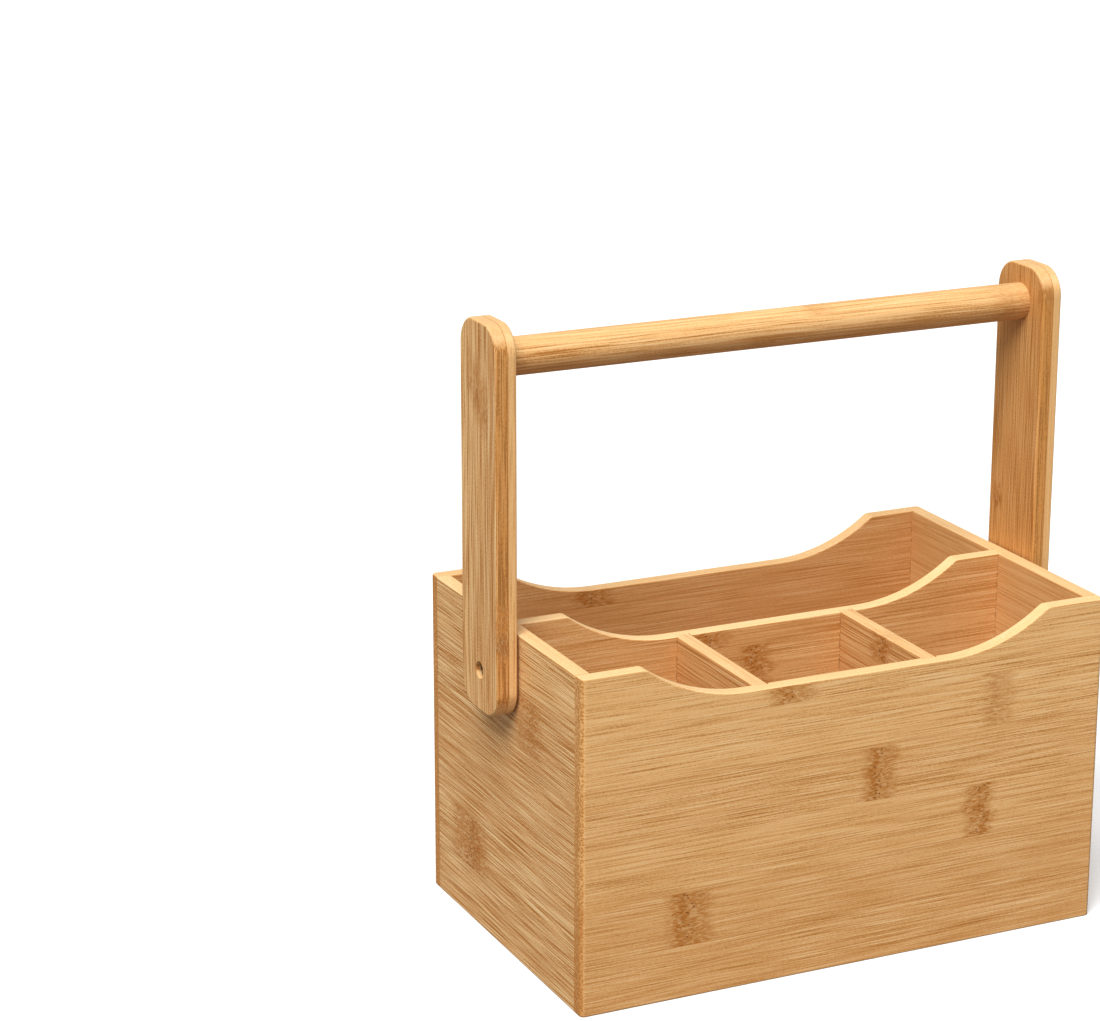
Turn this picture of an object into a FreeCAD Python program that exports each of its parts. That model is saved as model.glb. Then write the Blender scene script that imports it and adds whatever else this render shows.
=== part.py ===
"""Divided wooden utensil caddy with a folding bail handle.

All sizes are in millimetres. X runs along the caddy, Y from front to back and Z up.
The origin is on the table, under the middle of the box.
"""
import FreeCAD, Part
import math
import os

# Box, outside sizes
BOX_LENGTH = 260.0
BOX_DEPTH = 162.0
BOX_HEIGHT = 154.0

# Boards
SIDE_THICKNESS = 7.0             # front and back panels
END_THICKNESS = 7.0              # end panels
LONG_DIVIDER_THICKNESS = 7.0
CROSS_DIVIDER_THICKNESS = 7.0
FLOOR_THICKNESS = 5.0
FLOOR_LIFT = 4.0                 # table to the underside of the floor
FRONT_ROW_COMPARTMENTS = 3

# Dished top edge of the long boards
HORN_FLAT = 30.0                 # level stretch at each end
DIP_RUN = 50.0                   # length of each curved slope
DIP_DEPTH = 17.0
HORN_ROUNDING = 4.5              # where the level stretch turns into the slope

# Joinery
FLOOR_GROOVE_DEPTH = 3.0
HOUSING_DEPTH = 2.0              # grooves that hold the dividers' ends
GROOVE_CLEARANCE = 0.1           # on each side of a board in its groove

# Easing of the edges
CORNER_ROUNDING = 2.2            # upright outside corners of the box
EDGE_ROUNDING = 0.7
ARM_EDGE_ROUNDING = 1.1

# Handle
ARM_LENGTH = 176.0
ARM_WIDTH = 38.0
ARM_THICKNESS = 10.0
ARM_END_ROUNDING = 13.0
ARM_TAIL = 19.0                  # pivot to the arm's lower end
PIVOT_DROP = 19.7                # top of the box to the pivot
ROD_DIAMETER = 17.0
ROD_SETBACK = 17.3               # top of the arm to the rod's axis
ROD_SOCKET_DEPTH = 6.0
ROD_CLEARANCE = 0.1              # round the rod in its sockets

# Pivots
RECESS_DIAMETER = 8.0
RECESS_DEPTH = 4.5
HEAD_DIAMETER = 7.2
HEAD_HEIGHT = 2.4
SHOULDER_DIAMETER = 4.4
THREAD_DIAMETER = 3.6
THREAD_LENGTH = 19.0
THREAD_POINT = 3.0
RUNNING_CLEARANCE = 0.05         # between shoulder and arm
THREAD_CLEARANCE = 0.05
END_PLAY = 0.2                   # free movement of the arm along its pivot
WASHER_DIAMETER = 12.0
WASHER_THICKNESS = 1.0
DRIVE_WIDTH = 1.0                # cross slot in the screw's head
DRIVE_SPAN = 4.4
DRIVE_DEPTH = 1.3
HOLE_RUNOUT = 1.0                # bore left empty beyond the screw's point

# Worked out from the sizes above
HALF_LENGTH = BOX_LENGTH / 2
HALF_DEPTH = BOX_DEPTH / 2
INNER_HALF_LENGTH = HALF_LENGTH - END_THICKNESS
INNER_HALF_DEPTH = HALF_DEPTH - SIDE_THICKNESS
FLOOR_TOP = FLOOR_LIFT + FLOOR_THICKNESS
DIP_Z = BOX_HEIGHT - DIP_DEPTH
HORN_X = HALF_LENGTH - HORN_FLAT
DIP_FLAT_X = HORN_X - DIP_RUN
CROSS_DIVIDER_COUNT = FRONT_ROW_COMPARTMENTS - 1
COMPARTMENT_LENGTH = (
    2 * INNER_HALF_LENGTH - CROSS_DIVIDER_COUNT * CROSS_DIVIDER_THICKNESS
) / FRONT_ROW_COMPARTMENTS
PIVOT_Z = BOX_HEIGHT - PIVOT_DROP
ARM_BOTTOM_Z = PIVOT_Z - ARM_TAIL
ARM_TOP_Z = ARM_BOTTOM_Z + ARM_LENGTH
ROD_Z = ARM_TOP_Z - ROD_SETBACK
ARM_INNER_X = HALF_LENGTH + WASHER_THICKNESS + END_PLAY
ARM_OUTER_X = ARM_INNER_X + ARM_THICKNESS
RECESS_FLOOR_X = ARM_OUTER_X - RECESS_DEPTH
HEAD_SEAT_X = RECESS_FLOOR_X + END_PLAY
NEAR = 0.01                      # two places closer than this are the same place
LEFT = -1
RIGHT = 1


def block(x_range, y_range, z_range):
    """A box between three pairs of coordinates."""
    low = FreeCAD.Vector(min(x_range), min(y_range), min(z_range))
    size_x = abs(x_range[1] - x_range[0])
    size_y = abs(y_range[1] - y_range[0])
    size_z = abs(z_range[1] - z_range[0])
    return Part.makeBox(size_x, size_y, size_z, low)


def round_bar(x_start, x_end, z, diameter):
    """A cylinder along X over the middle of the box."""
    start = FreeCAD.Vector(min(x_start, x_end), 0, z)
    along_x = FreeCAD.Vector(1, 0, 0)
    return Part.makeCylinder(diameter / 2, abs(x_end - x_start), start, along_x)


def centred(middle, width):
    """A range of coordinates about a middle."""
    return (middle - width / 2, middle + width / 2)


def same(first, second):
    return abs(first - second) < NEAR


def rounded(solid, radius, is_wanted):
    """Round the solid's edges whose bounding boxes pass the test."""
    edges = [edge for edge in solid.Edges if is_wanted(edge.BoundBox)]
    return solid.makeFillet(radius, edges)


def cross_divider_x(side):
    """Middle of the cross divider on one side of the caddy."""
    return side * (COMPARTMENT_LENGTH + CROSS_DIVIDER_THICKNESS) / 2


def slope_edge(side):
    """Concave slope from the dip's floor up to the horn, as one arc."""
    radius = (DIP_RUN ** 2 + DIP_DEPTH ** 2) / (2 * DIP_DEPTH)
    half_turn = math.atan2(DIP_RUN, radius - DIP_DEPTH) / 2
    middle_x = DIP_FLAT_X + radius * math.sin(half_turn)
    middle_z = DIP_Z + radius * (1 - math.cos(half_turn))
    foot = FreeCAD.Vector(side * DIP_FLAT_X, 0, DIP_Z)
    middle = FreeCAD.Vector(side * middle_x, 0, middle_z)
    crest = FreeCAD.Vector(side * HORN_X, 0, BOX_HEIGHT)
    return Part.Arc(foot, middle, crest).toShape()


def dished_board(half_length, y_range, z_low):
    """Upright board along X, its top edge dipping between two level horns."""
    left_foot = FreeCAD.Vector(-half_length, 0, z_low)
    right_foot = FreeCAD.Vector(half_length, 0, z_low)
    left_top = FreeCAD.Vector(-half_length, 0, BOX_HEIGHT)
    right_top = FreeCAD.Vector(half_length, 0, BOX_HEIGHT)
    left_crest = FreeCAD.Vector(-HORN_X, 0, BOX_HEIGHT)
    right_crest = FreeCAD.Vector(HORN_X, 0, BOX_HEIGHT)
    left_dip = FreeCAD.Vector(-DIP_FLAT_X, 0, DIP_Z)
    right_dip = FreeCAD.Vector(DIP_FLAT_X, 0, DIP_Z)
    outline = Part.Wire([
        Part.makeLine(left_foot, right_foot),
        Part.makeLine(right_foot, right_top),
        Part.makeLine(right_top, right_crest),
        slope_edge(RIGHT),
        Part.makeLine(right_dip, left_dip),
        slope_edge(LEFT),
        Part.makeLine(left_crest, left_top),
        Part.makeLine(left_top, left_foot),
    ])
    board = Part.Face(outline).extrude(FreeCAD.Vector(0, y_range[1] - y_range[0], 0))
    board.translate(FreeCAD.Vector(0, y_range[0], 0))
    return rounded(board, HORN_ROUNDING, is_crest)


def is_crest(box):
    """The sharp edge across the board where horn and slope meet."""
    return box.XLength < NEAR and same(abs(box.XMin), HORN_X) and same(box.ZMin, BOX_HEIGHT)


def on_top(box):
    """An edge of the dished top, on a face of the board."""
    return box.YLength < NEAR and box.XLength > NEAR and box.ZMin > DIP_Z - NEAR


def side_panel(side):
    """Front or back panel before its grooves are cut, eased all round."""
    outer_y = side * HALF_DEPTH
    inner_y = side * INNER_HALF_DEPTH
    panel = dished_board(HALF_LENGTH, sorted((outer_y, inner_y)), 0)

    def is_corner(box):
        upright = box.ZLength > BOX_HEIGHT - NEAR and box.XLength < NEAR
        return upright and same(box.YMin, outer_y) and same(box.YMax, outer_y)

    def is_rim(box):
        reaches_end = same(max(abs(box.XMin), abs(box.XMax)), HALF_LENGTH)
        around_top = on_top(box) or (same(box.ZMin, BOX_HEIGHT) and reaches_end)
        inside = same(box.YMin, inner_y) and same(box.YMax, inner_y)
        around_foot = same(box.ZMax, 0) and not inside
        return around_top or around_foot

    return rounded(rounded(panel, CORNER_ROUNDING, is_corner), EDGE_ROUNDING, is_rim)


def floor_groove(thickness_clearance):
    """Space that the floor's edge takes up, inside the walls' grooves."""
    reach_x = INNER_HALF_LENGTH + FLOOR_GROOVE_DEPTH
    reach_y = INNER_HALF_DEPTH + FLOOR_GROOVE_DEPTH
    top = FLOOR_TOP + thickness_clearance
    return block((-reach_x, reach_x), (-reach_y, reach_y), (FLOOR_LIFT, top))


def cross_divider_housing(side, y_range):
    """Upright groove for one end of a cross divider."""
    width = CROSS_DIVIDER_THICKNESS + 2 * GROOVE_CLEARANCE
    return block(centred(cross_divider_x(side), width), y_range, (FLOOR_TOP, BOX_HEIGHT))


def make_front_panel():
    inner_y = -INNER_HALF_DEPTH
    panel = side_panel(-1).cut(floor_groove(2 * GROOVE_CLEARANCE))
    for side in (LEFT, RIGHT):
        panel = panel.cut(cross_divider_housing(side, (inner_y - HOUSING_DEPTH, inner_y)))
    return panel


def make_back_panel():
    return side_panel(1).cut(floor_groove(2 * GROOVE_CLEARANCE))


def screw_hole(side):
    """Bore for the threaded part of a pivot screw, from the end panel's outside."""
    inner_end = HALF_LENGTH - THREAD_LENGTH - HOLE_RUNOUT
    diameter = THREAD_DIAMETER + 2 * THREAD_CLEARANCE
    return round_bar(side * inner_end, side * HALF_LENGTH, PIVOT_Z, diameter)


def make_end_panel(side):
    outer_x = side * HALF_LENGTH
    inner_x = side * INNER_HALF_LENGTH
    housing_x = inner_x + side * HOUSING_DEPTH
    housing_width = LONG_DIVIDER_THICKNESS + 2 * GROOVE_CLEARANCE
    panel = block((inner_x, outer_x), (-INNER_HALF_DEPTH, INNER_HALF_DEPTH), (0, BOX_HEIGHT))

    def is_rim(box):
        runs_along_y = box.YLength > INNER_HALF_DEPTH and box.ZLength < NEAR
        return runs_along_y and (same(box.ZMin, BOX_HEIGHT) or same(box.XMin, outer_x))

    panel = rounded(panel, EDGE_ROUNDING, is_rim)
    panel = panel.cut(floor_groove(2 * GROOVE_CLEARANCE))
    panel = panel.cut(block((inner_x, housing_x), centred(0, housing_width), (FLOOR_TOP, BOX_HEIGHT)))
    return panel.cut(screw_hole(side))


def make_bottom_board():
    return floor_groove(0)


def make_long_divider():
    half_length = INNER_HALF_LENGTH + HOUSING_DEPTH
    y_range = centred(0, LONG_DIVIDER_THICKNESS)
    divider = rounded(dished_board(half_length, y_range, FLOOR_TOP), EDGE_ROUNDING, on_top)
    for side in (LEFT, RIGHT):
        divider = divider.cut(cross_divider_housing(side, (y_range[0], y_range[0] + HOUSING_DEPTH)))
        divider = divider.cut(screw_hole(side))
    return divider


def make_cross_divider(side):
    front_y = -INNER_HALF_DEPTH - HOUSING_DEPTH
    back_y = HOUSING_DEPTH - LONG_DIVIDER_THICKNESS / 2
    x_range = centred(cross_divider_x(side), CROSS_DIVIDER_THICKNESS)
    divider = block(x_range, (front_y, back_y), (FLOOR_TOP, DIP_Z))

    def is_top_rim(box):
        return box.YLength > NEAR and same(box.ZMin, DIP_Z)

    return rounded(divider, EDGE_ROUNDING, is_top_rim)


def make_handle_arm(side):
    """Flat bar with rounded ends, recessed outside for its screw and inside for the rod."""
    inner_x = side * ARM_INNER_X
    outer_x = side * ARM_OUTER_X
    arm = block((inner_x, outer_x), centred(0, ARM_WIDTH), (ARM_BOTTOM_Z, ARM_TOP_Z))

    def is_end_corner(box):
        return same(box.XLength, ARM_THICKNESS)

    def is_face_edge(box):
        return box.XLength < NEAR

    arm = rounded(arm, ARM_END_ROUNDING, is_end_corner)
    arm = rounded(arm, ARM_EDGE_ROUNDING, is_face_edge)
    socket_x = inner_x + side * ROD_SOCKET_DEPTH
    arm = arm.cut(round_bar(inner_x, socket_x, ROD_Z, ROD_DIAMETER + 2 * ROD_CLEARANCE))
    arm = arm.cut(round_bar(side * RECESS_FLOOR_X, outer_x, PIVOT_Z, RECESS_DIAMETER))
    return arm.cut(round_bar(inner_x, outer_x, PIVOT_Z, SHOULDER_DIAMETER + 2 * RUNNING_CLEARANCE))


def make_handle_rod():
    reach = ARM_INNER_X + ROD_SOCKET_DEPTH
    return round_bar(-reach, reach, ROD_Z, ROD_DIAMETER)


def drive_slot(side):
    """Cross-shaped pocket in the outer face of a screw's head."""
    top_x = side * (HEAD_SEAT_X + HEAD_HEIGHT)
    x_range = (top_x, top_x - side * DRIVE_DEPTH)
    upright = block(x_range, centred(0, DRIVE_WIDTH), centred(PIVOT_Z, DRIVE_SPAN))
    level = block(x_range, centred(0, DRIVE_SPAN), centred(PIVOT_Z, DRIVE_WIDTH))
    return upright.fuse(level)


def make_pivot_screw(side):
    """Shoulder screw: its shoulder stops on the end panel, so the arm stays free to turn."""
    head_seat = side * HEAD_SEAT_X
    head = round_bar(head_seat, head_seat + side * HEAD_HEIGHT, PIVOT_Z, HEAD_DIAMETER)

    def is_crown(box):
        return same(abs(box.XMin), HEAD_SEAT_X + HEAD_HEIGHT) and box.XLength < NEAR

    head = rounded(head, EDGE_ROUNDING, is_crown).cut(drive_slot(side))
    shoulder = round_bar(side * HALF_LENGTH, head_seat, PIVOT_Z, SHOULDER_DIAMETER)
    point_base = HALF_LENGTH - THREAD_LENGTH + THREAD_POINT
    thread = round_bar(side * point_base, side * HALF_LENGTH, PIVOT_Z, THREAD_DIAMETER)
    point = Part.makeCone(
        THREAD_DIAMETER / 2,
        0,
        THREAD_POINT,
        FreeCAD.Vector(side * point_base, 0, PIVOT_Z),
        FreeCAD.Vector(-side, 0, 0),
    )
    return head.fuse([shoulder, thread, point]).removeSplitter()


def make_pivot_washer(side):
    inner_x = side * HALF_LENGTH
    outer_x = inner_x + side * WASHER_THICKNESS
    disc = round_bar(inner_x, outer_x, PIVOT_Z, WASHER_DIAMETER)
    return disc.cut(round_bar(inner_x, outer_x, PIVOT_Z, SHOULDER_DIAMETER + 2 * RUNNING_CLEARANCE))


def make_nodes():
    """Every sub-part, under the name of its node."""
    nodes = {
        "front_panel": make_front_panel(),
        "back_panel": make_back_panel(),
        "bottom_board": make_bottom_board(),
        "long_divider": make_long_divider(),
        "handle_rod": make_handle_rod(),
    }
    for side, word in ((LEFT, "left"), (RIGHT, "right")):
        nodes[word + "_end_panel"] = make_end_panel(side)
        nodes[word + "_cross_divider"] = make_cross_divider(side)
        nodes[word + "_handle_arm"] = make_handle_arm(side)
        nodes[word + "_pivot_screw"] = make_pivot_screw(side)
        nodes[word + "_pivot_washer"] = make_pivot_washer(side)
    return nodes


os.makedirs("parts", exist_ok=True)
for name, shape in make_nodes().items():
    shape.exportStep("parts/" + name + ".step")
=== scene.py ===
"""Utensil caddy with a folding bail handle: lacquered bamboo finishes, pivot hardware and a studio stage."""

import math
from typing import NamedTuple

import bmesh
import bpy
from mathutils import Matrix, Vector


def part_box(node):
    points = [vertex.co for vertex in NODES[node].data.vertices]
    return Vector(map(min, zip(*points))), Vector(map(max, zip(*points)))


bl_info = {
    "name": "Utensil Caddy Finishes",
    "version": (1, 0, 0),
    "blender": (4, 5, 0),
    "location": "View3D > Sidebar > Caddy",
    "description": "Laminated bamboo boards, pivot screws and a studio stage for a divided utensil caddy",
    "category": "Material",
}

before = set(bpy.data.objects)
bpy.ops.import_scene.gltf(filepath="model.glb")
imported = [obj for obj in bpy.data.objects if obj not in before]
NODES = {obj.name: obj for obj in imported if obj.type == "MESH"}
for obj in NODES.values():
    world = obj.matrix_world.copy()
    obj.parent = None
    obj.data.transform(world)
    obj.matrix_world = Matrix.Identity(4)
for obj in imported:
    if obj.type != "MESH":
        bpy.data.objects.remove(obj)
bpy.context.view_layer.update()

PER_METRE = 1000.0

# How nodes are laid out in the shader editor.
NODES_PER_ROW = 10
NODE_WIDTH = 200
NODE_HEIGHT = 260

# Colour sockets of a Mix node.
MIX_FIRST = 6
MIX_SECOND = 7
MIX_RESULT = 2

# Which object axis runs along the grain, across the strips and through the board.
ALONG_X = ("X", "Z", "Y")
ALONG_Y = ("Y", "Z", "X")
ALONG_Z = ("Z", "Y", "X")
FLAT_ALONG_X = ("X", "Y", "Z")

# Culm nodes crossing a strip: place along the grain and across it, length along the grain and height across
# it, all in millimetres in the board's own directions, and strength. A length below nought turns one round.
MARK_HEIGHT = 25.6
FRONT_MARKS = (
    (-78.0, 37.0, 19.0, MARK_HEIGHT, 1.0),
    (15.0, 89.0, 14.5, MARK_HEIGHT, 1.0),
    (67.0, 63.0, -13.5, MARK_HEIGHT, 1.0),
    (76.0, 115.0, 14.0, MARK_HEIGHT, 0.55),
    (-30.0, 141.0, 20.0, MARK_HEIGHT, 0.95),
)
BACK_MARKS = (
    (-50.0, 141.0, 18.0, MARK_HEIGHT, 1.0),
    (-112.0, 115.0, 20.0, MARK_HEIGHT, 0.75),
    (88.0, 89.0, 16.0, MARK_HEIGHT, 0.9),
    (-96.0, 63.0, 17.0, MARK_HEIGHT, 0.8),
    (30.0, 37.0, 18.0, MARK_HEIGHT, 0.95),
)
LEFT_END_MARKS = (
    (38.0, 37.0, 34.0, MARK_HEIGHT, 0.95),
    (-27.0, 115.0, 24.0, MARK_HEIGHT, 0.7),
)
RIGHT_END_MARKS = (
    (22.0, 89.0, 16.0, MARK_HEIGHT, 0.9),
    (-40.0, 37.0, 18.0, MARK_HEIGHT, 0.75),
)
FLOOR_MARKS = (
    (-60.0, -27.0, 18.0, 21.6, 0.8),
    (48.0, 17.0, 16.0, 21.6, 0.9),
)
LONG_DIVIDER_MARKS = (
    (-29.0, 141.0, 18.0, MARK_HEIGHT, 0.9),
    (-5.0, 115.0, 14.0, MARK_HEIGHT, 1.0),
    (92.0, 63.0, 17.0, MARK_HEIGHT, 0.7),
)
LEFT_CROSS_MARKS = ((-22.0, 63.0, 16.0, MARK_HEIGHT, 0.7),)
RIGHT_CROSS_MARKS = ((-40.0, 137.0, 15.0, MARK_HEIGHT, 1.0),)
LEFT_ARM_MARKS = (
    (260.0, 1.0, 24.0, 9.0, 0.8),
    (254.0, -7.0, 22.0, 8.0, 0.7),
    (266.0, 9.0, 20.0, 7.0, 0.6),
    (156.0, -18.6, 24.0, 2.5, 1.0),
)
RIGHT_ARM_MARKS = (
    (178.0, 12.0, 11.0, 8.0, 0.75),
    (284.0, -17.0, 16.0, 5.5, 0.5),
)
ROD_MARKS = (
    (124.0, 274.0, 24.0, 20.0, 0.45),
    (22.0, 281.0, 12.0, 5.0, 0.5),
    (-8.0, 268.0, 14.0, 5.0, 0.5),
)

# Painted shade lines in the inner corners, where another board meets this one's face: place along the grain
# (mm) and which way the board's face looks there.
BACK_CORNER_SHADE = ((123.0, -1.0),)
LONG_DIVIDER_CORNER_SHADE = (
    (-123.0, -1.0),
    (-45.7, -1.0),
    (-38.6, -1.0),
    (38.6, -1.0),
    (45.7, -1.0),
    (123.0, -1.0),
)


# ------------------------------------------------------------
# Wiring of shader nodes
# ------------------------------------------------------------


class Value:
    """A value in a shader tree. Sums are written as with plain numbers, and add the nodes for them."""

    def __init__(self, wiring, socket):
        self.wiring = wiring
        self.socket = socket

    def __add__(self, other):
        return self.wiring.math("ADD", self, other)

    def __sub__(self, other):
        return self.wiring.math("SUBTRACT", self, other)

    def __rsub__(self, other):
        return self.wiring.math("SUBTRACT", other, self)

    def __mul__(self, other):
        return self.wiring.math("MULTIPLY", self, other)

    def __truediv__(self, other):
        return self.wiring.math("DIVIDE", self, other)

    def __abs__(self):
        return self.wiring.math("ABSOLUTE", self)

    def fade(self, start, end, low=0.0, high=1.0):
        """Goes smoothly from low to high as this value goes from start to end, and stays there outside."""
        made = self.wiring.node("ShaderNodeMapRange", interpolation_type="SMOOTHSTEP", clamp=True)
        limits = {"From Min": start, "From Max": end, "To Min": low, "To Max": high}
        self.wiring.fill(made.inputs, {"Value": self, **limits})
        return Value(self.wiring, made.outputs[0])

    def between(self, low, high):
        """Goes smoothly from low to high as this value goes from nought to one."""
        return self.fade(0.0, 1.0, low, high)


class Wiring:
    """Adds nodes to one shader tree and joins them."""

    def __init__(self, tree):
        self.tree = tree

    def node(self, kind, label="", **settings):
        made = self.tree.nodes.new(kind)
        made.label = label
        for name, value in settings.items():
            setattr(made, name, value)
        row, column = divmod(len(self.tree.nodes), NODES_PER_ROW)
        made.location = (column * NODE_WIDTH, -row * NODE_HEIGHT)
        return made

    def feed(self, socket, value):
        """Links a socket to a value in the tree, or sets it to a plain value."""
        if isinstance(value, Value):
            value = value.socket
        if isinstance(value, bpy.types.NodeSocket):
            self.tree.links.new(value, socket)
        else:
            socket.default_value = value

    def fill(self, sockets, values):
        """Feeds sockets that are given by title."""
        for title, value in values.items():
            self.feed(sockets[title], value)

    def feed_in_order(self, made, values):
        for socket, value in zip(made.inputs, values):
            self.feed(socket, value)
        return Value(self, made.outputs[0])

    def math(self, operation, *values, clamp=False):
        return self.feed_in_order(self.node("ShaderNodeMath", operation=operation, use_clamp=clamp), values)

    def larger(self, first, second):
        return self.math("MAXIMUM", first, second)

    def vector(self, operation, *values):
        return self.feed_in_order(self.node("ShaderNodeVectorMath", operation=operation), values)

    def stretch(self, position, scales):
        return self.vector("MULTIPLY", position, scales)

    def combine(self, x, y, z):
        return self.feed_in_order(self.node("ShaderNodeCombineXYZ"), (x, y, z))

    def scaled(self, parts, sizes):
        """A position from its three parts, each divided by its size."""
        return self.combine(*(part / size for part, size in zip(parts, sizes)))

    def separate(self, vector):
        made = self.node("ShaderNodeSeparateXYZ")
        self.feed(made.inputs[0], vector)
        return tuple(Value(self, part) for part in made.outputs)

    def noise(self, position, detail=2.0, roughness=0.55):
        made = self.node("ShaderNodeTexNoise", noise_dimensions="3D")
        self.fill(made.inputs, {"Vector": position, "Scale": 1.0, "Detail": detail, "Roughness": roughness})
        return Value(self, made.outputs["Fac"])

    def cells(self, position, dimensions="3D"):
        """The distance to the nearest of some scattered points, and that point's random value."""
        made = self.node("ShaderNodeTexVoronoi", voronoi_dimensions=dimensions, feature="F1")
        self.fill(made.inputs, {"Vector": position, "Scale": 1.0})
        return Value(self, made.outputs["Distance"]), self.separate(made.outputs["Color"])[0]

    def chance(self, first, second):
        """A random value for each pair of numbers."""
        made = self.node("ShaderNodeTexWhiteNoise", noise_dimensions="2D")
        self.feed(made.inputs["Vector"], self.combine(first, second, 0.0))
        return Value(self, made.outputs["Value"])

    def blend(self, factor, first, second):
        made = self.node("ShaderNodeMix", data_type="RGBA", blend_type="MIX", clamp_factor=True)
        self.fill(made.inputs, {"Factor": factor, MIX_FIRST: first, MIX_SECOND: second})
        return Value(self, made.outputs[MIX_RESULT])

    def bump(self, height, strength, depth):
        made = self.node("ShaderNodeBump")
        self.fill(made.inputs, {"Strength": strength, "Distance": depth, "Height": height})
        return made.outputs["Normal"]

    def group(self, tree, values):
        """Places a node group, feeds its sockets and gives back what it puts out, all by title."""
        made = self.node("ShaderNodeGroup", label=tree.name, node_tree=tree)
        self.fill(made.inputs, values)
        return {socket.name: Value(self, socket) for socket in made.outputs}


SOCKET_KINDS = {"number": "NodeSocketFloat", "vector": "NodeSocketVector", "colour": "NodeSocketColor"}


def kind_of(value):
    if isinstance(value, float):
        return "number"
    return "vector" if len(value) == len("XYZ") else "colour"


def start_group(name, inputs, outputs):
    """An empty node group with named sockets: its wiring, what it is given and what it gives back."""
    tree = bpy.data.node_groups.new(name, "ShaderNodeTree")
    for title, value in inputs.items():
        kind = SOCKET_KINDS[kind_of(value)]
        tree.interface.new_socket(name=title, in_out="INPUT", socket_type=kind).default_value = value
    for title, kind in outputs.items():
        tree.interface.new_socket(name=title, in_out="OUTPUT", socket_type=SOCKET_KINDS[kind])
    wiring = Wiring(tree)
    sockets = wiring.node("NodeGroupInput").outputs
    given = {title: Value(wiring, sockets[title]) for title in inputs}
    return wiring, given, wiring.node("NodeGroupOutput").inputs


def shared_group(name, build):
    """The node group of that name, built the first time it is asked for."""
    return bpy.data.node_groups.get(name) or build(name)


def opaque(colour):
    return (*colour, 1.0)


# ------------------------------------------------------------
# Shared effects
# ------------------------------------------------------------

# Sizes are in millimetres, and three together go along the grain, across the strips and through the board.
# A fade says where a mask starts and ends, and then from what to what it goes, if not from nought to one.

NO_VECTOR = (0.0, 0.0, 0.0)
STRAIGHT_UP = (0.0, 0.0, 1.0)
NOISE_MIDDLE = 0.5

SLIDE_SEED = 7.3
FIBRE_SEED = 3.1
STRIP_SLIDE = 900.0
JOINT_FADE = (0.3, 0.08)
JOINT_PATCHES_ALONG = 0.035
JOINT_PATCHES_ACROSS = 0.05
JOINT_PATCH_FADE = (0.38, 0.6, 0.15, 1.0)


def build_strip_layout(name):
    """Glued-up strips: each has its own tone, amount of fibre and grain, and a thin joint between."""
    wiring, given, result = start_group(
        name,
        {
            "Position": NO_VECTOR,
            "Strip Height": 26.0,
            "First Joint": 0.0,
            "Seed": 0.0,
        },
        {"Position": "vector", "Tone": "number", "Fibre": "number", "Joint": "number"},
    )
    along, across, depth = wiring.separate(given["Position"])
    place = (across - given["First Joint"]) / given["Strip Height"]
    strip = wiring.math("FLOOR", place)
    within = wiring.math("FRACT", place)
    seed = given["Seed"]
    slide = wiring.chance(strip, seed + SLIDE_SEED) * STRIP_SLIDE
    near = wiring.math("MINIMUM", within, 1.0 - within) * given["Strip Height"]
    patches = wiring.noise(wiring.combine(along * JOINT_PATCHES_ALONG, across * JOINT_PATCHES_ACROSS, seed))
    results = {
        "Position": wiring.combine(along + slide, across, depth),
        "Tone": wiring.chance(strip, seed),
        "Fibre": wiring.chance(strip, seed + FIBRE_SEED),
        "Joint": near.fade(*JOINT_FADE) * patches.fade(*JOINT_PATCH_FADE),
    }
    wiring.fill(result, results)
    return wiring.tree


# Places and widths as shares of a node mark's length, from its middle.
BAND_PLACE = 0.2
BAND_FADE = (0.3, 0.08)
PITS_PLACE = 0.04
PITS_FADE = (0.2, 0.06)
TRAIL_FADE = (0.75, 0.3)

PITS_BY_STRENGTH = (0.5, 0.9)
MARK_EDGE = 0.6


def build_node_mark(name):
    """Where a culm's node crosses a strip: masks for a brown band, a column of pits and a stippled trail."""
    wiring, given, result = start_group(
        name,
        {
            "Position": NO_VECTOR,
            "Waver": 0.0,
            "Centre Along": 0.0,
            "Centre Across": 0.0,
            "Length": 16.0,
            "Height": MARK_HEIGHT,
            "Strength": 1.0,
            "Marks": NO_VECTOR,
        },
        {"Marks": "vector"},
    )
    along, across, _ = wiring.separate(given["Position"])
    run = (along + given["Waver"] - given["Centre Along"]) / given["Length"]
    rise = abs(across - given["Centre Across"])
    half = given["Height"] * 0.5
    inside = rise.fade(half, half - MARK_EDGE) * given["Strength"]
    band = abs(run + BAND_PLACE).fade(*BAND_FADE) * inside
    pits = abs(run + PITS_PLACE).fade(*PITS_FADE) * inside.fade(*PITS_BY_STRENGTH)
    trail = abs(run).fade(*TRAIL_FADE) * inside
    marks = wiring.vector("MAXIMUM", wiring.combine(band, pits, trail), given["Marks"])
    wiring.fill(result, {"Marks": marks})
    return wiring.tree


CORNER_SHADE_GAP = 2.6
CORNER_SHADE_FADE = (0.65, 0.25)
CORNER_SHADE_GAP_FADE = (0.45, 0.62, 0.1, 0.9)
CORNER_SHADE_FACING = (0.5, 0.9)


def build_painted_corner_shade(name):
    """Painted shade: a dark broken line in the inner corner where another board meets this one's face."""
    wiring, given, result = start_group(
        name,
        {
            "Position": NO_VECTOR,
            "Normal": STRAIGHT_UP,
            "Place": 0.0,
            "Facing": 1.0,
            "Seam": 0.0,
        },
        {"Seam": "number"},
    )
    along, across, _ = wiring.separate(given["Position"])
    near = abs(along - given["Place"])
    gaps = wiring.noise(wiring.combine(given["Place"], across / CORNER_SHADE_GAP, 0.0))
    facing = wiring.separate(given["Normal"])[2] * given["Facing"]
    line = near.fade(*CORNER_SHADE_FADE) * gaps.fade(*CORNER_SHADE_GAP_FADE) * facing.fade(*CORNER_SHADE_FACING)
    wiring.fill(result, {"Seam": wiring.larger(line, given["Seam"])})
    return wiring.tree


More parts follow.
